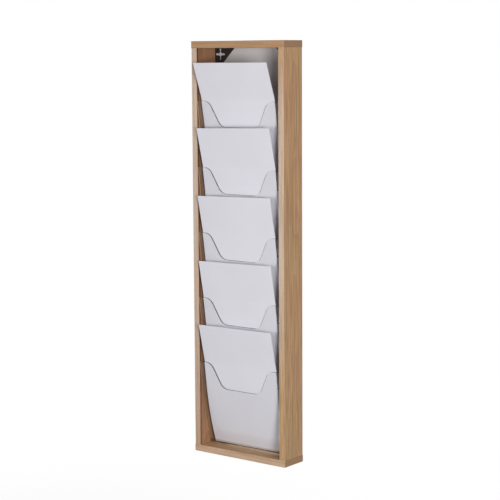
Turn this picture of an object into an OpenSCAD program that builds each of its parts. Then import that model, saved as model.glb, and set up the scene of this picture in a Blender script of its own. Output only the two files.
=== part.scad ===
// Wall magazine rack: a slim beech frame with an open back, five clear acrylic pockets with
// wave-cut fronts set one above the other in grooves of the side boards, and a stack of A4 paper
// in each pocket. The frame hangs by keyholes in the steel plates that brace its rear corners.
// Millimetres. +Z is up, the front faces -Y, the wall is the plane y = 0, and the origin lies
// midway between the two upper keyholes.

/* [Frame] */
// Width over the top and bottom boards
rack_w = 267; // [255:1:320]
// Height over the top and bottom boards
rack_h = 972; // [930:1:1100]
// Depth of all four boards, from the front to the wall
rack_d = 71; // [65:1:100]
// Thickness of the top and bottom boards
cap_t = 16; // [12:0.5:22]
// Thickness of the side boards
side_t = 15; // [12:0.5:20]
// How far the top and bottom boards stand out past each side board
cap_overhang = 1; // [0:0.5:6]
// Chamfer that eases the edges of the boards
edge_ease = 0.6; // [0.2:0.1:1.5]

/* [Dowels] */
// Diameter of the dowels between the sides and the top and bottom boards
dowel_d = 6; // [4:0.5:7]
// Length of a dowel
dowel_l = 30; // [20:1:40]
// Depth of a dowel in the top or bottom board
dowel_in_cap = 10; // [6:0.5:11]
// Distance of the front dowel from the front of the rack
dowel_front = 18; // [10:1:28]
// Distance between the two dowels of a corner
dowel_gap = 28; // [20:1:34]
// Play round a dowel or a screw in its hole
hole_play = 0.1; // [0.05:0.05:0.3]

/* [Pockets] */
// Distance from one pocket to the next above it
pocket_pitch = 154; // [145:1:165]
// Height of a pocket at its sides
pocket_h = 203; // [170:1:230]
// Thickness of the acrylic
acrylic_t = 3; // [2:0.5:5]
// Distance of a pocket's upper edge behind the front of the rack
pocket_setback = 1.5; // [0.5:0.5:6]
// Lean of the flat upper part of a pocket's front, in degrees
front_tilt = 7; // [3:0.5:10]
// Height of that flat upper part
flat_h = 63; // [60:1:90]
// Radius of the long curve below it
curve_r = 710; // [500:10:1200]
// Inner radius of the bend between a pocket's front and its shelf
bend_r = 3; // [2:0.5:8]
// Distance of a shelf's rear edge from the wall
shelf_rear = 4; // [3:0.5:12]
// Depth of a pocket's edges in the side boards
groove_d = 3.5; // [2:0.5:4.5]
// Play round the acrylic in its grooves
groove_play = 0.2; // [0.1:0.05:0.5]

/* [Wave cut] */
// Width of the low middle of a pocket's front
wave_low_w = 79; // [50:1:100]
// Drop from a pocket's sides to its low middle
wave_drop = 61; // [55:1:75]
// Radius of the curves at the top and the foot of the slope
wave_r = 24; // [12:1:28]
// Steepness of the slope between the curves, in degrees
wave_slope = 63; // [50:1:75]

/* [Sheets] */
// Width of a sheet
sheet_w = 210; // [180:1:222]
// Length of a sheet
sheet_l = 297; // [260:1:330]
// Thickness of a stack of sheets
stack_t = 1.2; // [0.5:0.1:4]
// Gap between a stack and the acrylic
sheet_gap = 0.3; // [0.2:0.1:1]
// Radius by which a stack bends forward over the upper edge of its pocket
flop_r = 60; // [30:5:120]
// Lean of the free upper part of a stack, in degrees
sheet_lean = 12.5; // [11:0.5:18]
// Lean of the free upper part of the top stack, which hangs further out
top_sheet_lean = 20; // [11:0.5:26]

/* [Corner plates] */
// Length of a plate's two legs
plate_leg = 71; // [62:1:90]
// Thickness of a plate
plate_t = 2; // [1.5:0.5:3]
// Distance of a plate from the ends of the rack and from the faces of the side boards
plate_inset = 6; // [4:0.5:7]
// Width of the blunt ends of the legs
plate_tip = 5; // [3:0.5:8]
// Play round a plate in its recess
plate_play = 0.2; // [0.1:0.05:0.5]
// Distance of the keyhole's centre from a plate's two edges
keyhole_in = 24.5; // [23:0.5:28]
// Length of the keyhole's arms, end to end
keyhole_l = 28; // [20:1:28]
// Width of the keyhole's arms
keyhole_w = 4.6; // [3.5:0.1:6]
// Diameter of the hole in the middle, which the head of a wall screw passes
keyhole_d = 9.5; // [8:0.5:12]
// Diameter of the round seat near the end of the upright outer arm
seat_d = 6.5; // [5:0.5:8]

/* [Plate screws] */
// Diameter of a screw's shank
screw_d = 3; // [2.5:0.5:3.5]
// Length of a screw
screw_l = 14; // [10:1:16]
// Diameter of a screw's countersunk head
screw_head_d = 5.6; // [4.5:0.1:6.5]
// Height of a screw's countersunk head
screw_head_h = 1.6; // [1.2:0.1:2]
// Distance of the screws from the edge of a plate
screw_edge = 4.2; // [4:0.1:6]
// Distance of the first screw of a leg from the inside corner of the boards
screw_first = 10; // [6:1:14]
// Distance between the two screws of a leg
screw_gap = 32; // [20:1:36]
// Width of the cross recess in a screw's head
recess_w = 0.8; // [0.5:0.1:1]
// Length of the cross recess, end to end
recess_l = 3; // [2:0.2:3.6]
// Depth of the cross recess
recess_d = 0.9; // [0.5:0.1:1.1]

/* [Hidden] */
$fn = 64;
// Number of pockets, and of stacks of sheets
pocket_count = 5;
// Steps along the long curve and along a tight bend
curve_steps = 16;
bend_steps = 12;
// Overcut that takes a cut clean through a face
over = 1;

sides_w = rack_w - 2 * cap_overhang;
inner_w = sides_w - 2 * side_t;
side_h = rack_h - 2 * cap_t;
// The dowels stand in the middle of the wood between a side board's outer face and its grooves
dowel_x = sides_w / 2 - (side_t - groove_d) / 2;
dowel_ys = [dowel_front, dowel_front + dowel_gap];
dowel_tip = dowel_d / 8;

// A plate's corner, from the rack's middle and its foot, and the height of the upper keyholes
plate_x = sides_w / 2 - plate_inset;
plate_z = rack_h - plate_inset;
keyhole_z = plate_z - keyhole_in;
screw_tip = screw_d / 6;
// A plate's screws in its own view, two in the top or bottom board and two in the side board
screw_stations = [screw_first, screw_first + screw_gap];
screw_places = concat(
  [for (s = screw_stations) [side_t - plate_inset + s, screw_edge]],
  [for (s = screw_stations) [screw_edge, cap_t - plate_inset + s]]
);

// A pocket's side view is a path of y from the rack's front and z from the shelf's underside. It
// runs down the outer face: a flat lean, a long curve, a tight bend and the shelf.
function down(a) = [sin(a), -cos(a)];
function inward(a) = [cos(a), sin(a)];
function spread(a, b, n) = [for (i = [0:n]) a + (b - a) * i / n];
pocket_w = inner_w + 2 * groove_d;
shelf_end = rack_d - shelf_rear;
outer_bend_r = bend_r + acrylic_t;
flat_l = flat_h / cos(front_tilt);
lip = [pocket_setback, pocket_h];
curve_top = lip + flat_l * down(front_tilt);
curve_mid = curve_top + curve_r * inward(front_tilt);
// Lean at which the long curve meets the bend, so that the bend ends level with the shelf
foot_tilt = asin((curve_mid[1] - outer_bend_r) / (curve_r - outer_bend_r));
bend_mid = curve_mid - (curve_r - outer_bend_r) * inward(foot_tilt);
curve_leans = spread(front_tilt, foot_tilt, curve_steps);
bend_leans = spread(foot_tilt, 90, bend_steps);

// One face of the acrylic, a depth d behind the outer face, with both ends run on by e
function face(d, e) = concat(
  [lip - e * down(front_tilt) + d * inward(front_tilt)],
  [for (a = curve_leans) curve_mid - (curve_r - d) * inward(a)],
  [for (a = bend_leans) bend_mid - (outer_bend_r - d) * inward(a)],
  [[shelf_end + e, d]]
);
function reversed(v) = [for (i = [len(v) - 1:-1:0]) v[i]];
function pocket_outline(play) = concat(face(-play, play), reversed(face(acrylic_t + play, play)));
function pocket_z(n) = cap_t + (pocket_count - n) * pocket_pitch;

// The wave in the plane of a pocket's front: x from the middle, height from the upper edge
slope_run = (wave_drop - 2 * wave_r * (1 - cos(wave_slope))) / tan(wave_slope);
wave_foot = wave_low_w / 2;
wave_top = wave_foot + 2 * wave_r * sin(wave_slope) + slope_run;
wave_leans = spread(0, wave_slope, bend_steps);
wave_half = concat(
  [[wave_top, over]],
  [for (a = wave_leans) [wave_top - wave_r * sin(a), wave_r * (cos(a) - 1)]],
  [for (a = reversed(wave_leans)) [wave_foot + wave_r * sin(a), wave_r * (1 - cos(a)) - wave_drop]]
);
wave_outline = concat(wave_half, [for (p = reversed(wave_half)) [-p[0], p[1]]]);

// A stack follows the acrylic from the bend to the upper edge, bends over it and runs on straight
sheet_face = acrylic_t + sheet_gap;
function radians(a) = a * PI / 180;
function sheet_free(lean) = sheet_l - flat_l
  - (curve_r - sheet_face) * radians(foot_tilt - front_tilt)
  - flop_r * radians(lean - front_tilt);
function stack_face(d, lean) =
  let (flop_mid = lip + (sheet_face - flop_r) * inward(front_tilt))
  let (flop = [for (a = spread(front_tilt, lean, bend_steps)) flop_mid + (flop_r + d) * inward(a)])
  concat(
    [for (a = reversed(curve_leans)) curve_mid - (curve_r - sheet_face - d) * inward(a)],
    flop,
    [flop[bend_steps] - sheet_free(lean) * down(lean)]
  );
function stack_outline(lean) = concat(stack_face(0, lean), reversed(stack_face(stack_t, lean)));

// From bench coordinates, front at y = 0 and foot at z = 0, to the hanging frame
module hang() {
  translate([0, -rack_d, -keyhole_z]) children();
}

// A side view, y and z, drawn out to a width along x about the middle
module across(w) {
  translate([-w / 2, 0, 0]) rotate([90, 0, 90]) linear_extrude(w) children();
}

// An upright view, x and z, drawn out from y0 towards the rear
module backward(y0, d) {
  translate([0, y0 + d, 0]) rotate([90, 0, 0]) linear_extrude(d) children();
}

// A rectangle from the origin with eased corners
module eased(w, h) {
  polygon([
    [edge_ease, 0], [w - edge_ease, 0], [w, edge_ease], [w, h - edge_ease],
    [w - edge_ease, h], [edge_ease, h], [0, h - edge_ease], [0, edge_ease]
  ]);
}

module mirrored_x() {
  children();
  mirror([1, 0, 0]) children();
}

// Top and bottom corners alike, about the rack's middle height
module mirrored_z() {
  children();
  translate([0, 0, rack_h]) mirror([0, 0, 1]) children();
}

module four_corners() {
  mirrored_z() mirrored_x() children();
}

// The plate's own view: its corner at the origin, its legs along +u and +v
module plate_outline(play) {
  reach = plate_leg + play;
  polygon([
    [-play, -play], [reach, -play], [reach, plate_tip + play],
    [plate_tip + play, reach], [-play, reach]
  ]);
}

// Places the plate's own view at the upper left corner of the rack
module plate_place() {
  translate([-plate_x, 0, plate_z]) mirror([0, 0, 1]) children();
}

module keyhole_cut() {
  arm = keyhole_l / 2 - keyhole_w / 2;
  seat = keyhole_l / 2 - seat_d / 2;
  translate([keyhole_in, rack_d + over, keyhole_in]) rotate([90, 0, 0]) {
    cylinder(d = keyhole_d, h = plate_t + 2 * over);
    translate([0, -seat, 0]) cylinder(d = seat_d, h = plate_t + 2 * over);
    for (a = [0, 90]) rotate(a) {
      translate([-arm, -keyhole_w / 2, 0]) cube([2 * arm, keyhole_w, plate_t + 2 * over]);
      for (s = [-1, 1]) translate([s * arm, 0, 0]) cylinder(d = keyhole_w, h = plate_t + 2 * over);
    }
  }
}

// A screw from its head's face at the origin along -y, grown by its play
module screw_body(play) {
  rotate([90, 0, 0]) rotate_extrude() polygon([
    [0, 0], [screw_head_d / 2 + play, 0], [screw_d / 2 + play, screw_head_h],
    [screw_d / 2 + play, screw_l - screw_d], [screw_tip + play, screw_l + play], [0, screw_l + play]
  ]);
}

module at_screws() {
  plate_place() for (p = screw_places) translate([p[0], rack_d, p[1]]) children();
}

// The holes and recesses of the plates at all four corners
module plate_cuts() {
  four_corners() {
    plate_place() backward(rack_d - plate_t, plate_t + over) plate_outline(plate_play);
    at_screws() screw_body(hole_play / 2);
  }
}

// A dowel with chamfered ends, upright from the origin
module dowel_body(d, l) {
  rotate_extrude() polygon([
    [0, 0], [d / 2 - dowel_tip, 0], [d / 2, dowel_tip],
    [d / 2, l - dowel_tip], [d / 2 - dowel_tip, l], [0, l]
  ]);
}

module at_dowels() {
  four_corners() for (y = dowel_ys) translate([dowel_x, y, cap_t - dowel_in_cap]) children();
}

module dowel_holes() {
  at_dowels() translate([0, 0, -hole_play]) cylinder(d = dowel_d + hole_play, h = dowel_l + 2 * hole_play);
}

module groove_cuts() {
  for (n = [1:pocket_count]) {
    translate([0, 0, pocket_z(n)]) across(pocket_w + 2 * groove_play) polygon(pocket_outline(groove_play));
  }
}

module cap_blank() {
  intersection() {
    across(rack_w) eased(rack_d, cap_t);
    translate([-rack_w / 2, 0, 0]) linear_extrude(cap_t) eased(rack_w, rack_d);
    translate([-rack_w / 2, 0, 0]) backward(0, rack_d) eased(rack_w, cap_t);
  }
}

module side_blank() {
  translate([inner_w / 2, 0, cap_t]) linear_extrude(side_h) eased(side_t, rack_d);
}

module top_board() {
  color("burlywood") hang() difference() {
    translate([0, 0, rack_h - cap_t]) cap_blank();
    dowel_holes();
    plate_cuts();
  }
}

module bottom_board() {
  color("burlywood") hang() difference() {
    cap_blank();
    dowel_holes();
    plate_cuts();
  }
}

module side_board() {
  difference() {
    side_blank();
    groove_cuts();
    dowel_holes();
    plate_cuts();
  }
}

module left_side() {
  color("tan") hang() mirror([1, 0, 0]) side_board();
}

module right_side() {
  color("tan") hang() side_board();
}

module frame_dowels() {
  color("wheat") hang() at_dowels() dowel_body(dowel_d, dowel_l);
}

// A plate at the upper left corner: recessed flush, with its keyhole and countersunk holes
module corner_plate() {
  difference() {
    plate_place() difference() {
      backward(rack_d - plate_t, plate_t) plate_outline(0);
      keyhole_cut();
    }
    at_screws() screw_body(hole_play / 2);
  }
}

module corner_plate_top_left() {
  color("dimgray") hang() corner_plate();
}

module corner_plate_top_right() {
  color("dimgray") hang() mirror([1, 0, 0]) corner_plate();
}

module corner_plate_bottom_left() {
  color("dimgray") hang() translate([0, 0, rack_h]) mirror([0, 0, 1]) corner_plate();
}

module corner_plate_bottom_right() {
  color("dimgray") hang() translate([0, 0, rack_h]) mirror([0, 0, 1]) mirror([1, 0, 0]) corner_plate();
}

module plate_screws() {
  color("silver") hang() four_corners() at_screws() difference() {
    screw_body(0);
    for (a = [0, 90]) rotate([0, a, 0]) translate([-recess_l / 2, -recess_d, -recess_w / 2]) {
      cube([recess_l, recess_d + over, recess_w]);
    }
  }
}

module wave_cut() {
  translate([0, lip[0], lip[1]]) rotate([front_tilt, 0, 0]) {
    backward(-over, acrylic_t + 2 * over) polygon(wave_outline);
  }
}

module pocket(n) {
  color("lightcyan", 0.5) hang() translate([0, 0, pocket_z(n)]) difference() {
    across(pocket_w) polygon(pocket_outline(0));
    wave_cut();
  }
}

module sheets(n) {
  lean = n == 1 ? top_sheet_lean : sheet_lean;
  color("white") hang() translate([0, 0, pocket_z(n)]) across(sheet_w) polygon(stack_outline(lean));
}

top_board();
bottom_board();
left_side();
right_side();
frame_dowels();
corner_plate_top_left();
corner_plate_top_right();
corner_plate_bottom_left();
corner_plate_bottom_right();
plate_screws();
pocket(1);  // pocket_1
pocket(2);  // pocket_2
pocket(3);  // pocket_3
pocket(4);  // pocket_4
pocket(5);  // pocket_5
sheets(1);  // sheets_1
sheets(2);  // sheets_2
sheets(3);  // sheets_3
sheets(4);  // sheets_4
sheets(5);  // sheets_5
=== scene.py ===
import math
import random

import bmesh
import bpy
from mathutils import Matrix, Vector


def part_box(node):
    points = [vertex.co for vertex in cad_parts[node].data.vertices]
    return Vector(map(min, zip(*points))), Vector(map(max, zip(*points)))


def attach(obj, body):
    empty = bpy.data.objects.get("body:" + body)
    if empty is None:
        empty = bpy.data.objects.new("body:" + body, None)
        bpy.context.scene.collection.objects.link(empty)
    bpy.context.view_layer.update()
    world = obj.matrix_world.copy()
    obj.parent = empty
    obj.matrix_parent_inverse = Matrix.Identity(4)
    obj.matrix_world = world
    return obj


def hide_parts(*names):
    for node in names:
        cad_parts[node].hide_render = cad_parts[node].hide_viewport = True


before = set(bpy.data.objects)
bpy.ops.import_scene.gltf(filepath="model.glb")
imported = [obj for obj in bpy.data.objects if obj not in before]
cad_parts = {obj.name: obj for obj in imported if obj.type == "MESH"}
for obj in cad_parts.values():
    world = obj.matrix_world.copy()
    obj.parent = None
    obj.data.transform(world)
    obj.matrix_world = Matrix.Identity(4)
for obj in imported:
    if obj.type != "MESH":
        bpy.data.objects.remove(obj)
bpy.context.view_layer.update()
scene = bpy.context.scene


# The four boards of the frame are planed beech with eased edges under a thin matt lacquer, with the
# grain along each. The top and bottom boards cap the two sides. The front edges of the sides and
# the bottom carry a painted sheen, and the sides' inner faces carry painted shade, with a darker
# line near the front.

class Strand:
    """A socket among a material's nodes. Sums and products of strands add Math nodes."""

    def __init__(self, tree, socket=None):
        self.tree = tree
        self.socket = socket

    def node(self, kind, settings, sockets, out=0):
        """Adds a node of any kind: first its settings, then the values or links of its sockets."""
        made = self.tree.nodes.new("ShaderNode" + kind)
        for name, value in settings.items():
            setattr(made, name, value)
        for name, value in sockets.items():
            if isinstance(value, Strand):
                self.tree.links.new(value.socket, made.inputs[name])
            else:
                made.inputs[name].default_value = value
        return Strand(self.tree, made.outputs[out] if len(made.outputs) else None)

    def math(self, operation, *others):
        """A Math node on this strand and any others."""
        return self.node("Math", {"operation": operation}, dict(enumerate((self, *others))))

    def math_after(self, first, operation):
        """A Math node on another value and then this strand."""
        return self.node("Math", {"operation": operation}, {0: first, 1: self})

    def __add__(self, other):
        return self.math("ADD", other)

    def __sub__(self, other):
        return self.math("SUBTRACT", other)

    def __mul__(self, other):
        return self.math("MULTIPLY", other)

    def __truediv__(self, other):
        return self.math("DIVIDE", other)

    def __pow__(self, other):
        return self.math("POWER", other)

    __radd__ = __add__
    __rmul__ = __mul__

    def __rsub__(self, other):
        return self.math_after(other, "SUBTRACT")

    def __rtruediv__(self, other):
        return self.math_after(other, "DIVIDE")

    def __rpow__(self, other):
        return self.math_after(other, "POWER")

    def between(self, low, high):
        """0 where this strand is under low, 1 over high, and a smooth step between."""
        sockets = {"Value": self, "From Min": low, "From Max": high}
        return self.node("MapRange", {"interpolation_type": "SMOOTHSTEP"}, sockets)

    def within(self, low, full, fade, high):
        """1 from full to fade, with a smooth step down to 0 at low and one at high."""
        return self.between(low, full) * (1.0 - self.between(fade, high))

    def tint(self, low, high):
        """A colour that runs from low to high as this strand goes from 0 to 1."""
        return self.node("Mix", {"data_type": "RGBA"}, {0: self, 6: low, 7: high}, 2)

    def part(self, axis):
        """One of the three numbers of this vector."""
        return self.node("SeparateXYZ", {}, {"Vector": self}, axis)

    def stretched(self, sizes):
        """This vector times three numbers."""
        return self.node("VectorMath", {"operation": "MULTIPLY"}, {0: self, 1: sizes})

    def noise(self, detail=3.0, roughness=0.5):
        """Noise from 0 to 1 at this vector."""
        sockets = {"Vector": self, "Scale": 1.0, "Detail": detail, "Roughness": roughness}
        return self.node("TexNoise", {}, sockets)

    def ray(self, kind):
        """1 for light rays of a kind, such as Shadow, and 0 for all others."""
        return self.node("LightPath", {}, {}, f"Is {kind} Ray")


def rgb(red, green, blue):
    """A colour that covers fully."""
    return (red, green, blue, 1.0)


def new_material(name):
    """A new material, a strand that its first nodes are added by, and the place on the piece."""
    made = bpy.data.materials.new(name)
    made.use_nodes = True
    made.node_tree.nodes.clear()
    start = Strand(made.node_tree)
    return made, start, start.node("TexCoord", {}, {}, "Object")


def wear(node_name, material):
    """Gives a solid of the frame its material."""
    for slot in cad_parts[node_name].material_slots:
        slot.material = material


X, Y, Z = range(3)
BEECH_OLIVE = rgb(0.515, 0.355, 0.165)
BEECH_ROSE = rgb(0.608, 0.342, 0.196)
BEECH_SHEEN = rgb(0.715, 0.605, 0.505)
BEECH_SHEEN_LATE = rgb(0.500, 0.375, 0.280)
BEECH_LATE = rgb(0.310, 0.170, 0.082)
BEECH_FLECK = rgb(0.235, 0.125, 0.062)
BEECH_END = rgb(0.300, 0.180, 0.105)
BEECH_INNER_SHADE = rgb(0.075, 0.018, 0.010)
RING_WIDTH = 0.0042
RING_TILT = 0.014
RING_WANDER = 0.030
LATE_NARROW = 2.6
FACING = (0.6, 0.8)
FRONT_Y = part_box("left_side")[0].y
# Depths of the darker line just behind the front of the inner faces, and the painted shade on those
# faces, which grows from the foot up.
INNER_LINE_DEPTHS = (0.0010, 0.0025, 0.0055, 0.0075)
INNER_LINE_DIM = 0.50
INNER_SHADE_LOW = 0.14
INNER_SHADE_MORE = 0.19
INNER_FOOT_Z = (-0.86, -0.76)


def beech(name, grain, pith, shift, rose=0.0, tone=0.0,
          pale=0.0, sheen_z=(-0.9, -0.8, -0.15, 0.05), inner=0.0):
    """Lacquered beech with its grain along one axis and its growth rings round a pith. Rose warms
    it and tone darkens it. Pale is how much lighter its front edge is, a painted sheen of the lamps
    in the lacquer, and sheen_z the four heights between which this fades in and out. Inner is 1 or
    -1 where the face that looks that way along x is the inner face, darkened with painted shade."""
    made, start, home = new_material(name)
    place = start.node("VectorMath", {"operation": "ADD"}, {0: home, 1: shift})
    normal = start.node("NewGeometry", {}, {}, "Normal")

    def grained(across, along):
        return place.stretched([along if axis == grain else across for axis in (X, Y, Z)])

    clouds = grained(across=26.0, along=3.2).noise(2.0)
    bands = grained(across=120.0, along=5.0).noise(3.0, 0.55)
    streaks = grained(across=210.0, along=8.0).noise(4.0, 0.65).between(0.40, 0.66)
    fibres = grained(across=900.0, along=22.0).noise(3.0, 0.6)
    dark_fibres = fibres.between(0.45, 0.8)
    flecks = grained(across=1500.0, along=170.0).noise(1.0).between(0.64, 0.72)

    u, v = [axis for axis in (X, Y, Z) if axis != grain]
    off_u = place.part(u) - pith[0]
    off_v = place.part(v) - pith[1]
    radius = (off_u * off_u + off_v * off_v).math("SQRT")
    wander = grained(across=11.0, along=2.6).noise(2.0)
    rings = (radius + place.part(grain) * RING_TILT + wander * RING_WANDER) / RING_WIDTH
    late = rings.math("FRACT") ** LATE_NARROW

    end = normal.part(grain).math("ABSOLUTE").between(*FACING)
    # The front edge is lighter where a lamp would shine in the lacquer: a painted sheen.
    front = (normal.part(Y) * -1.0).between(*FACING) * home.part(Z).within(*sheen_z) * pale
    inside = (normal.part(X) * inner).between(*FACING)
    # Painted shade on the inner face, more above the foot, and a darker line just behind the front.
    inner_line = inside * (home.part(Y) - FRONT_Y).within(*INNER_LINE_DEPTHS)
    inner_shade = inside * (INNER_SHADE_LOW + INNER_SHADE_MORE * home.part(Z).between(*INNER_FOOT_Z))

    hue = (bands * 0.7 + clouds * 0.5 + (rose - 0.1)).between(0.32, 0.68)
    wood = hue.tint(BEECH_OLIVE, BEECH_ROSE)
    wood = (late * 0.42 + tone).tint(wood, BEECH_LATE)
    wood = (streaks * 0.68).tint(wood, BEECH_LATE)
    wood = (dark_fibres * 0.22).tint(wood, BEECH_LATE)
    # Painted sheen on the front edge, with the grain still showing through it.
    sheen_grain = streaks * 0.45 + dark_fibres * 0.3 + late * 0.25
    wood = front.tint(wood, sheen_grain.tint(BEECH_SHEEN, BEECH_SHEEN_LATE))
    # The painted shade and the darker line on the inner face.
    wood = (inner_shade + inner_line * INNER_LINE_DIM).tint(wood, BEECH_INNER_SHADE)
    wood = (flecks * 0.55).tint(wood, BEECH_FLECK)
    wood = (end * (0.55 + late * 0.35)).tint(wood, BEECH_END)
    relief = fibres * 0.5 + late * 0.3 - flecks * 0.6
    bump = start.node("Bump", {}, {"Strength": 0.35, "Distance": 0.00012, "Height": relief})
    shader = start.node("BsdfPrincipled", {}, {
        "Base Color": wood,
        "Roughness": 0.46 + fibres * 0.14 + end * 0.12,
        "Specular IOR Level": 0.4,
        "Normal": bump,
    })
    start.node("OutputMaterial", {}, {"Surface": shader})
    return made


wear("top_board", beech(
    "beech_top", grain=X, pith=(-0.045, 0.060), shift=(0.31, 0, 0), rose=0.02, tone=0.33,
))
wear("bottom_board", beech(
    "beech_bottom", grain=X, pith=(-0.030, -0.990), shift=(0.77, 0, 0), rose=0.05, tone=0.06,
    pale=0.3, sheen_z=(-1.2, -1.0, -0.15, 0.05),
))
wear("left_side", beech(
    "beech_left", grain=Z, pith=(-0.185, -0.050), shift=(0, 0, 0.43), rose=0.16, tone=0.46,
    pale=0.72, sheen_z=(-1.45, -0.30, 0.10, 0.30), inner=1.0,
))
wear("right_side", beech(
    "beech_right", grain=Z, pith=(0.180, -0.030), shift=(0, 0, 1.29), rose=-0.02, tone=-0.02,
    pale=0.66, sheen_z=(-0.85, -0.45, -0.15, 0.05), inner=-1.0,
))


# Round beech dowels join the boards, two to a corner, glued into blind holes.
# They are of the same wood, and no side of the rack shows them.

wear("frame_dowels", beech("beech_dowel", grain=Z, pith=(0.0, -0.2), shift=(0, 0, 2.2)))


# The corner plates are triangles of steel sheet let in flush with the rear edges of the boards.
# Their black powder coat is matt with a fine orange peel, and each has a cross-shaped keyhole.

COAT_BLACK = rgb(0.017, 0.013, 0.011)
COAT_WORN = rgb(0.036, 0.030, 0.027)

coat, start, place = new_material("black_powder_coat")
peel = place.stretched([1500.0] * 3).noise(2.0)
rubbed = place.stretched([60.0] * 3).noise(4.0, 0.65).between(0.45, 0.8)
bump = start.node("Bump", {}, {"Strength": 0.3, "Distance": 0.00008, "Height": peel})
start.node("OutputMaterial", {}, {"Surface": start.node("BsdfPrincipled", {}, {
    "Base Color": rubbed.tint(COAT_BLACK, COAT_WORN),
    "Roughness": 0.50 + peel * 0.2 - rubbed * 0.1,
    "Specular IOR Level": 0.22,
    "Normal": bump,
})})
for corner in ("top_left", "top_right", "bottom_left", "bottom_right"):
    wear("corner_plate_" + corner, coat)


# Four small countersunk screws hold each plate to the boards.
# They are steel with a bright zinc plating and a cross recess.

ZINC_BRIGHT = rgb(0.52, 0.52, 0.51)
ZINC_DULL = rgb(0.34, 0.35, 0.36)

zinc, start, place = new_material("bright_zinc")
bloom = place.stretched([700.0] * 3).noise(4.0, 0.6)
start.node("OutputMaterial", {}, {"Surface": start.node("BsdfPrincipled", {}, {
    "Base Color": bloom.between(0.35, 0.7).tint(ZINC_BRIGHT, ZINC_DULL),
    "Metallic": 1.0,
    "Roughness": 0.24 + bloom * 0.22,
})})
wear("plate_screws", zinc)


# The pockets are clear acrylic sheet, cut with a wave along the front's upper edge and then bent
# hot: a flat lean, a long curve, a tight bend and a shelf. Their ends sit in grooves of the side
# boards. The cut edges are painted near black and the foot and bend darker, painted shade for how
# they look dark.

POCKETS = range(1, 6)
ACRYLIC_T = 0.003
POCKET_H = 0.203
SETBACK = 0.0015
LEAN = math.radians(7.0)
FLAT_H = 0.063
FLAT_STEPS = 8
CURVE_R = 0.710
CURVE_STEPS = 28
BEND_R = 0.003
BEND_STEPS = 12
WAVE_LOW = 0.079 / 2
WAVE_DROP = 0.061
WAVE_R = 0.024
WAVE_SLOPE = math.radians(63.0)
WAVE_STEPS = 14
EDGE_ROUND = 0.0003
EDGE_STEPS = 2
EDGE_ANGLE = math.radians(50.0)
POCKET_CREASE = math.radians(35.0)


def down(lean):
    """In side view, the way down along a sheet with this lean."""
    return Vector((math.sin(lean), -math.cos(lean)))


def inward(lean):
    """In side view, the way into the rack, square to a sheet with this lean."""
    return Vector((math.cos(lean), math.sin(lean)))


def spread(first, last, steps):
    """Numbers from first to last in even steps."""
    return [first + (last - first) * i / steps for i in range(steps + 1)]


OUTER_R = BEND_R + ACRYLIC_T
flat_l = FLAT_H / math.cos(LEAN)
lip = Vector((SETBACK, POCKET_H))
curve_top = lip + flat_l * down(LEAN)
curve_mid = curve_top + CURVE_R * inward(LEAN)
foot_lean = math.asin((curve_mid.y - OUTER_R) / (CURVE_R - OUTER_R))
bend_mid = curve_mid - (CURVE_R - OUTER_R) * inward(foot_lean)

wave_run = (WAVE_DROP - 2 * WAVE_R * (1 - math.cos(WAVE_SLOPE))) / math.tan(WAVE_SLOPE)
wave_top = WAVE_LOW + 2 * WAVE_R * math.sin(WAVE_SLOPE) + wave_run
wave_half = [(wave_top - WAVE_R * math.sin(a), WAVE_R * (math.cos(a) - 1))
             for a in spread(0.0, WAVE_SLOPE, WAVE_STEPS)]
wave_half += [(WAVE_LOW + WAVE_R * math.sin(a), WAVE_R * (1 - math.cos(a)) - WAVE_DROP)
              for a in spread(WAVE_SLOPE, 0.0, WAVE_STEPS)]


def slab(shape, front, back):
    """Adds a closed slab to a bmesh between two nets of points, with its rim as material 1."""
    nets = [[[shape.verts.new(p) for p in column] for column in net] for net in (front, back)]
    last, high = len(front) - 1, len(front[0]) - 1
    made = []
    for net, turn in zip(nets, (1, -1)):
        for i in range(last):
            for j in range(high):
                ring = [net[i][j], net[i + 1][j], net[i + 1][j + 1], net[i][j + 1]]
                made.append(shape.faces.new(ring[::turn]))
    walk = [(i, 0) for i in range(last)] + [(last, j) for j in range(high)]
    walk += [(i, high) for i in range(last, 0, -1)] + [(0, j) for j in range(high, 0, -1)]
    for (i, j), (k, m) in zip(walk, walk[1:] + walk[:1]):
        rim = shape.faces.new([nets[1][i][j], nets[1][k][m], nets[0][k][m], nets[0][i][j]])
        rim.material_index = 1
        made.append(rim)
    bmesh.ops.recalc_face_normals(shape, faces=made)


def piece(name, shape, materials, crease):
    """Makes an object of a bmesh, smooth but for edges sharper than the angle of a crease."""
    mesh = bpy.data.meshes.new(name)
    shape.to_mesh(mesh)
    shape.free()
    for polygon in mesh.polygons:
        polygon.use_smooth = True
    mesh.set_sharp_from_angle(angle=crease)
    for material in materials:
        mesh.materials.append(material)
    made = bpy.data.objects.new(name, mesh)
    scene.collection.objects.link(made)
    return made


ACRYLIC_TINT = rgb(0.992, 0.994, 0.994)
ACRYLIC_DULL = rgb(0.980, 0.983, 0.984)
ACRYLIC_FOOT_SHADE = rgb(0.300, 0.250, 0.220)
ACRYLIC_GLOSS = rgb(0.18, 0.18, 0.18)
ACRYLIC_IOR = 1.49
FOOT_DEPTHS = (0.030, 0.039)
FOOT_SHADE = 0.14
BEND_DEPTHS = (0.0408, 0.0416, 0.0460, 0.0480)
BEND_SHADE = 0.60
LIGHT_LOSS = rgb(0.945, 0.945, 0.945)
EDGE_SHADE_DARK = rgb(0.012, 0.013, 0.014)
EDGE_SHADE_PALE = rgb(0.042, 0.045, 0.047)


def lets_lamps_through(start, shader):
    """Clear sheet that lamplight and light from the room fall straight through."""
    clear = start.node("BsdfTransparent", {}, {"Color": LIGHT_LOSS})
    shader = start.node("MixShader", {}, {0: start.ray("Diffuse"), 1: shader, 2: clear})
    return start.node("MixShader", {}, {0: start.ray("Shadow"), 1: shader, 2: clear})


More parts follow.
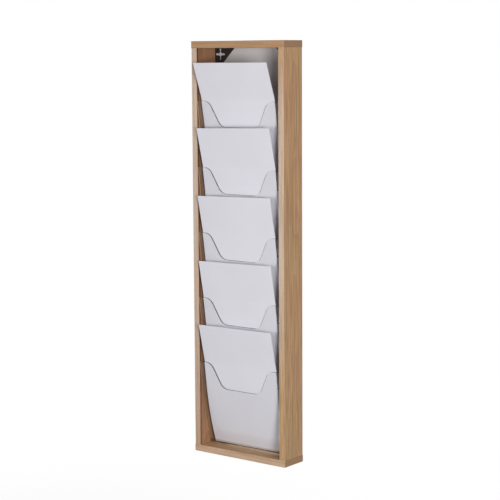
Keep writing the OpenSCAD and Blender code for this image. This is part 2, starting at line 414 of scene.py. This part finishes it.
acrylic, start, place = new_material("clear_acrylic")
handling = place.stretched([22.0] * 3).noise(4.0, 0.6).between(0.5, 0.85)
# Painted shade: the acrylic darkens towards its foot and most in the bend, where it meets the
# bottom board.
inset = place.part(Y) - FRONT_Y
foot = inset.between(*FOOT_DEPTHS) * FOOT_SHADE + inset.within(*BEND_DEPTHS) * BEND_SHADE
shader = start.node("BsdfPrincipled", {}, {
    "Base Color": foot.tint(handling.tint(ACRYLIC_TINT, ACRYLIC_DULL), ACRYLIC_FOOT_SHADE),
    "Roughness": 0.015 + handling * 0.03,
    "IOR": ACRYLIC_IOR,
    "Specular Tint": ACRYLIC_GLOSS,
    "Transmission Weight": 1.0,
})
start.node("OutputMaterial", {}, {"Surface": lets_lamps_through(start, shader)})

# The cut edges are painted near black, a painted shade for how a clear edge looks dark.
cut_edge, start, place = new_material("acrylic_cut_edge")
saw = place.stretched([400.0] * 3).noise(3.0, 0.6)
bump = start.node("Bump", {}, {"Strength": 0.2, "Distance": 0.0001, "Height": saw})
shader = start.node("BsdfPrincipled", {}, {
    "Base Color": saw.between(0.3, 0.7).tint(EDGE_SHADE_DARK, EDGE_SHADE_PALE),
    "Roughness": 0.22 + saw * 0.2,
    "IOR": ACRYLIC_IOR,
    "Specular IOR Level": 0.2,
    "Normal": bump,
})
start.node("OutputMaterial", {}, {"Surface": lets_lamps_through(start, shader)})

for n in POCKETS:
    low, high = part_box(f"pocket_{n}")
    columns = [(-high.x, 0.0)] + [(-x, h) for x, h in wave_half]
    columns += [(x, h) for x, h in reversed(wave_half)] + [(high.x, 0.0)]
    nets = []
    for depth in (0.0, ACRYLIC_T):
        path = [Vector((high.y - FRONT_Y, depth))]
        path += [bend_mid - (OUTER_R - depth) * inward(a)
                 for a in spread(math.pi / 2, foot_lean, BEND_STEPS)[:-1]]
        path += [curve_mid - (CURVE_R - depth) * inward(a)
                 for a in spread(foot_lean, LEAN, CURVE_STEPS)]
        net = []
        for x, h in columns:
            rise = [path[-1] - (flat_l + h) * t * down(LEAN)
                    for t in spread(0.0, 1.0, FLAT_STEPS)[1:]]
            net.append([Vector((x, FRONT_Y + p.x, low.z + p.y)) for p in path + rise])
        nets.append(net)
    shape = bmesh.new()
    slab(shape, *nets)
    pocket = piece(f"acrylic_pocket_{n}", shape, (acrylic, cut_edge), POCKET_CREASE)
    rounded = pocket.modifiers.new("rounded_edges", "BEVEL")
    rounded.width = EDGE_ROUND
    rounded.segments = EDGE_STEPS
    rounded.limit_method = "ANGLE"
    rounded.angle_limit = EDGE_ANGLE
    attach(pocket, "rack")
    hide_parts(f"pocket_{n}")


# A thin stack of blank white A4 paper stands in each pocket. It lies against the acrylic and bends
# forward over its upper edge, the top stack most, which also bows back below it. Each stack sits a
# little askew, as put in by hand.

SHEET_W = 0.210
SHEET_L = 0.297
STEPS_ACROSS = 6
STEPS_UP = 60
SHEET_GAP = 0.0003
LEAF_T = 0.0001
LEAF_PITCH = 0.00015
LEAVES = 8
LEAF_STRAY = 0.0009
LEAF_RISE = 0.0008
LEAF_SEED = 40
STACK_CREASE = math.radians(50.0)
FLOP_R = 0.060
PAPER_WHITE = rgb(0.785, 0.785, 0.850)
PAPER_SHADE = rgb(0.750, 0.750, 0.810)
FREE_LEAN = {1: 20.0, 2: 12.5, 3: 11.0, 4: 10.0, 5: 12.5}
BOW = {1: 0.004, 2: 0.0, 3: 0.0, 4: 0.0, 5: 0.0}
ASKEW = {1: 0.15, 2: 1.4, 3: 1.35, 4: 1.05, 5: 0.55}
ASIDE = {1: -0.0014, 2: -0.0020, 3: -0.0030, 4: -0.0030, 5: -0.0006}
SLID = {1: 0.0030, 2: 0.0, 3: 0.0040, 4: 0.0040, 5: 0.0010}

paper, start, place = new_material("white_paper")
pulp = place.stretched([420.0] * 3).noise(5.0, 0.65)
waves = place.stretched([9.0] * 3).noise(2.0)
bump = start.node("Bump", {}, {"Strength": 0.12, "Distance": 0.00005, "Height": pulp})
start.node("OutputMaterial", {}, {"Surface": start.node("BsdfPrincipled", {}, {
    "Base Color": (pulp * 0.5 + waves * 0.5).between(0.3, 0.7).tint(PAPER_WHITE, PAPER_SHADE),
    "Roughness": 0.82 + pulp * 0.12,
    "Specular IOR Level": 0.25,
    "Normal": bump,
})})

CORNER_R = BEND_R - SHEET_GAP
face_depth = ACRYLIC_T + SHEET_GAP
curve_l = (CURVE_R - face_depth) * (foot_lean - LEAN)
lip_s = curve_l + flat_l


def on_stack(s, depth, lean, bow):
    """The side view of a stack: the point a length s up from its foot, a depth behind its face.
    Under the acrylic's lip it bows back from the acrylic, and over the lip it bends to its lean."""
    if s < 0:
        turned = min(-s / CORNER_R, math.pi / 2 - foot_lean)
        foot = bend_mid - (CORNER_R - depth) * inward(foot_lean + turned)
        return foot + (-s - turned * CORNER_R) * down(foot_lean + turned)
    bowed = bow * math.sin(math.pi * s / lip_s) * inward(LEAN)
    if s < curve_l:
        a = foot_lean - s / (CURVE_R - face_depth)
        return curve_mid - (CURVE_R - face_depth - depth) * inward(a) + bowed
    if s < lip_s:
        return curve_top + (face_depth + depth) * inward(LEAN) - (s - curve_l) * down(LEAN) + bowed
    lip_lean = LEAN + bow * math.pi / lip_s
    flop_mid = lip + face_depth * inward(LEAN) - FLOP_R * inward(lip_lean)
    turned = min((s - lip_s) / FLOP_R, lean - lip_lean)
    free = s - lip_s - turned * FLOP_R
    return flop_mid + (FLOP_R + depth) * inward(lip_lean + turned) - free * down(lip_lean + turned)


for n in POCKETS:
    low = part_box(f"pocket_{n}")[0]
    lean = math.radians(FREE_LEAN[n])
    skew = math.radians(ASKEW[n])
    draw = random.Random(LEAF_SEED + n)
    shape = bmesh.new()
    for leaf in range(LEAVES):
        slip_x = draw.uniform(-LEAF_STRAY, LEAF_STRAY)
        slip_s = draw.uniform(0.0, LEAF_RISE)
        nets = []
        for depth in (leaf * LEAF_PITCH, leaf * LEAF_PITCH + LEAF_T):
            net = []
            for x in spread(-SHEET_W / 2, SHEET_W / 2, STEPS_ACROSS):
                column = []
                for t in spread(0.0, SHEET_L, STEPS_UP):
                    drop = SHEET_L - t
                    side = x * math.cos(skew) + drop * math.sin(skew) + slip_x + ASIDE[n]
                    s = x * math.sin(skew) + SHEET_L - drop * math.cos(skew) + slip_s - SLID[n]
                    p = on_stack(s, depth, lean, BOW[n])
                    column.append(Vector((side, FRONT_Y + p.x, low.z + p.y)))
                net.append(column)
            nets.append(net)
        slab(shape, *nets)
    stack = piece(f"paper_stack_{n}", shape, (paper, paper), STACK_CREASE)
    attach(stack, f"stack_{n}")
    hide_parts(f"sheets_{n}")


# A pale wall shows through the open back, with painted shade behind the right of the top
# stack, and a pale floor lies well below the hanging rack and throws little light back up. Both are
# only a stage, and clear where they are seen from their far sides.

WHITE = rgb(1.0, 1.0, 1.0)
WALL_GAP = 0.0005
WALL_LAP = 0.002
WALL_PALE = rgb(0.47, 0.460, 0.464)
WALL_SHADE = rgb(0.19, 0.162, 0.150)
WALL_LEAK = 0.45
ROLLER_MARK = 0.05
TOP_BAY_Z = (-0.26, -0.20)
BOARD_SHADE_X = (-0.03, 0.07)
BOARD_SHADE_Z = (-0.02, -0.08)
SIDE_SHADE_X = (0.04, 0.12)
SIDE_SHADE = 0.5
FLOOR_Z = -1.55
FLOOR_REACH = 9
FLOOR_FADE = (1.0, 2.4)
FLOOR_WHITE = 0.7
FLOOR_PALE = rgb(0.86, 0.86, 0.86)
FLOOR_PALER = rgb(0.90, 0.90, 0.90)
FLOOR_BOUNCE = rgb(0.13, 0.13, 0.13)


def matt(start, colour):
    """Flat paint with no shine."""
    return start.node("BsdfPrincipled", {}, {
        "Base Color": colour, "Roughness": 1.0, "Specular IOR Level": 0.0,
    })


def seen(start):
    """1 for what meets the eye, straight, in a gloss or through the acrylic, and 0 for the rest."""
    eye = start.ray("Camera")
    for kind in ("Glossy", "Transmission"):
        eye = eye.math("MAXIMUM", start.ray(kind))
    return eye


def stage_sheet(name, corners, material):
    """A flat sheet that belongs to the stage and not to the rack."""
    mesh = bpy.data.meshes.new(name)
    mesh.from_pydata(corners, [], [(0, 1, 2, 3)])
    mesh.materials.append(material)
    made = bpy.data.objects.new(name, mesh)
    scene.collection.objects.link(made)


wall, start, place = new_material("pale_wall")
roller = place.stretched([300.0] * 3).noise(3.0)
across, height = place.part(X), place.part(Z)
# Painted shade on the wall, right of the middle below the top board and half as much by the right
# side, fading out below the top stack.
under_board = across.between(*BOARD_SHADE_X) * height.between(*BOARD_SHADE_Z)
by_side = across.between(*SIDE_SHADE_X) * SIDE_SHADE
shaded = under_board.math("MAXIMUM", by_side) * height.between(*TOP_BAY_Z)
paint = shaded * (1 - ROLLER_MARK) + roller * ROLLER_MARK
behind = start.node("NewGeometry", {}, {}, "Backfacing")
start.node("OutputMaterial", {}, {"Surface": start.node("MixShader", {}, {
    0: behind.math("MAXIMUM", start.ray("Shadow") * WALL_LEAK),
    1: matt(start, paint.tint(WALL_PALE, WALL_SHADE)),
    2: start.node("BsdfTransparent", {}, {}),
})})
wall_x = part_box("right_side")[0].x + WALL_LAP
wall_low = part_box("bottom_board")[1].z - WALL_LAP
wall_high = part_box("top_board")[0].z + WALL_LAP
stage_sheet("wall_patch", [
    (-wall_x, WALL_GAP, wall_low), (wall_x, WALL_GAP, wall_low),
    (wall_x, WALL_GAP, wall_high), (-wall_x, WALL_GAP, wall_high),
], wall)

floor, start, place = new_material("pale_floor")
flat = place.stretched([1.0, 1.0, 0.0])
away = start.node("VectorMath", {"operation": "LENGTH"}, {0: flat}, 1)
mottle = place.stretched([3.0] * 3).noise(2.0).tint(FLOOR_PALE, FLOOR_PALER)
shown = start.node("MixShader", {}, {
    0: seen(start) * (FLOOR_WHITE + (1 - FLOOR_WHITE) * away.between(*FLOOR_FADE)),
    1: matt(start, start.ray("Diffuse").tint(mottle, FLOOR_BOUNCE)),
    2: start.node("Emission", {}, {"Color": WHITE, "Strength": 1.0}),
})
start.node("OutputMaterial", {}, {"Surface": start.node("MixShader", {}, {
    0: start.node("NewGeometry", {}, {}, "Backfacing"),
    1: shown,
    2: start.node("BsdfTransparent", {}, {}),
})})
stage_sheet("floor", [
    (-FLOOR_REACH, -FLOOR_REACH, FLOOR_Z), (FLOOR_REACH, -FLOOR_REACH, FLOOR_Z),
    (FLOOR_REACH, FLOOR_REACH, FLOOR_Z), (-FLOOR_REACH, FLOOR_REACH, FLOOR_Z),
], floor)


# Soft studio light: a lamp in front, a weak one far round to the left, a strong one to the right,
# one high behind for the rear, and an even room all round. The room is white where it is seen.

ROOM_LIGHT = 0.12
RACK_MIDDLE = Vector((0.0, -0.05, -0.45))
LAMP_WHITE = (1.0, 1.0, 1.0)
LAMP_ROSE = (1.0, 0.990, 1.0)
LAMP_WARM = (1.0, 0.980, 0.960)


def lamp(name, place, size, power, colour):
    """A square lamp that faces the middle of the rack."""
    data = bpy.data.lights.new(name, "AREA")
    data.shape = "SQUARE"
    data.size = size
    data.energy = power
    data.color = colour
    made = bpy.data.objects.new(name, data)
    made.location = place
    made.rotation_euler = (RACK_MIDDLE - Vector(place)).to_track_quat("-Z", "Y").to_euler()
    scene.collection.objects.link(made)


lamp("front_lamp", (0.12, -3.55, -0.40), size=1.0, power=30.0, colour=LAMP_ROSE)
lamp("left_lamp", (-2.95, -2.00, -0.40), size=1.4, power=16.0, colour=LAMP_ROSE)
lamp("right_lamp", (2.74, -2.22, -0.15), size=0.8, power=92.0, colour=LAMP_WARM)
lamp("rear_lamp", (-0.90, 2.80, 1.00), size=1.6, power=105.0, colour=LAMP_WHITE)

world = bpy.data.worlds.new("studio_room")
world.use_nodes = True
world.node_tree.nodes.clear()
scene.world = world
start = Strand(world.node_tree)
start.node("OutputWorld", {}, {"Surface": start.node("MixShader", {}, {
    0: seen(start),
    1: start.node("Background", {}, {"Color": WHITE, "Strength": ROOM_LIGHT}),
    2: start.node("Background", {}, {"Color": WHITE, "Strength": 1.0}),
})})
scene.view_settings.view_transform = "Standard"


# The camera stands level with the top of the rack, to its right, and looks a little down.
# Its place, turn and lens are solved from the edges of the frame.

CAMERA_PLACE = Vector((2.1396, -2.7912, -0.0025))
CAMERA_YAW = math.radians(37.717)
CAMERA_PITCH = math.radians(7.330)
CAMERA_ROLL = math.radians(-0.344)
SENSOR_W = 36.0
FOCAL_L = 109.02

look = Vector((
    -math.sin(CAMERA_YAW) * math.cos(CAMERA_PITCH),
    math.cos(CAMERA_YAW) * math.cos(CAMERA_PITCH),
    -math.sin(CAMERA_PITCH),
))
level = Vector((math.cos(CAMERA_YAW), math.sin(CAMERA_YAW), 0.0))
upright = level.cross(look)
right = math.cos(CAMERA_ROLL) * level + math.sin(CAMERA_ROLL) * upright
up = math.cos(CAMERA_ROLL) * upright - math.sin(CAMERA_ROLL) * level
lens = bpy.data.cameras.new("camera")
lens.sensor_width = SENSOR_W
lens.lens = FOCAL_L
camera = bpy.data.objects.new("camera", lens)
camera.matrix_world = Matrix((right, up, -look)).transposed().to_4x4()
camera.location = CAMERA_PLACE
scene.collection.objects.link(camera)
scene.camera = camera
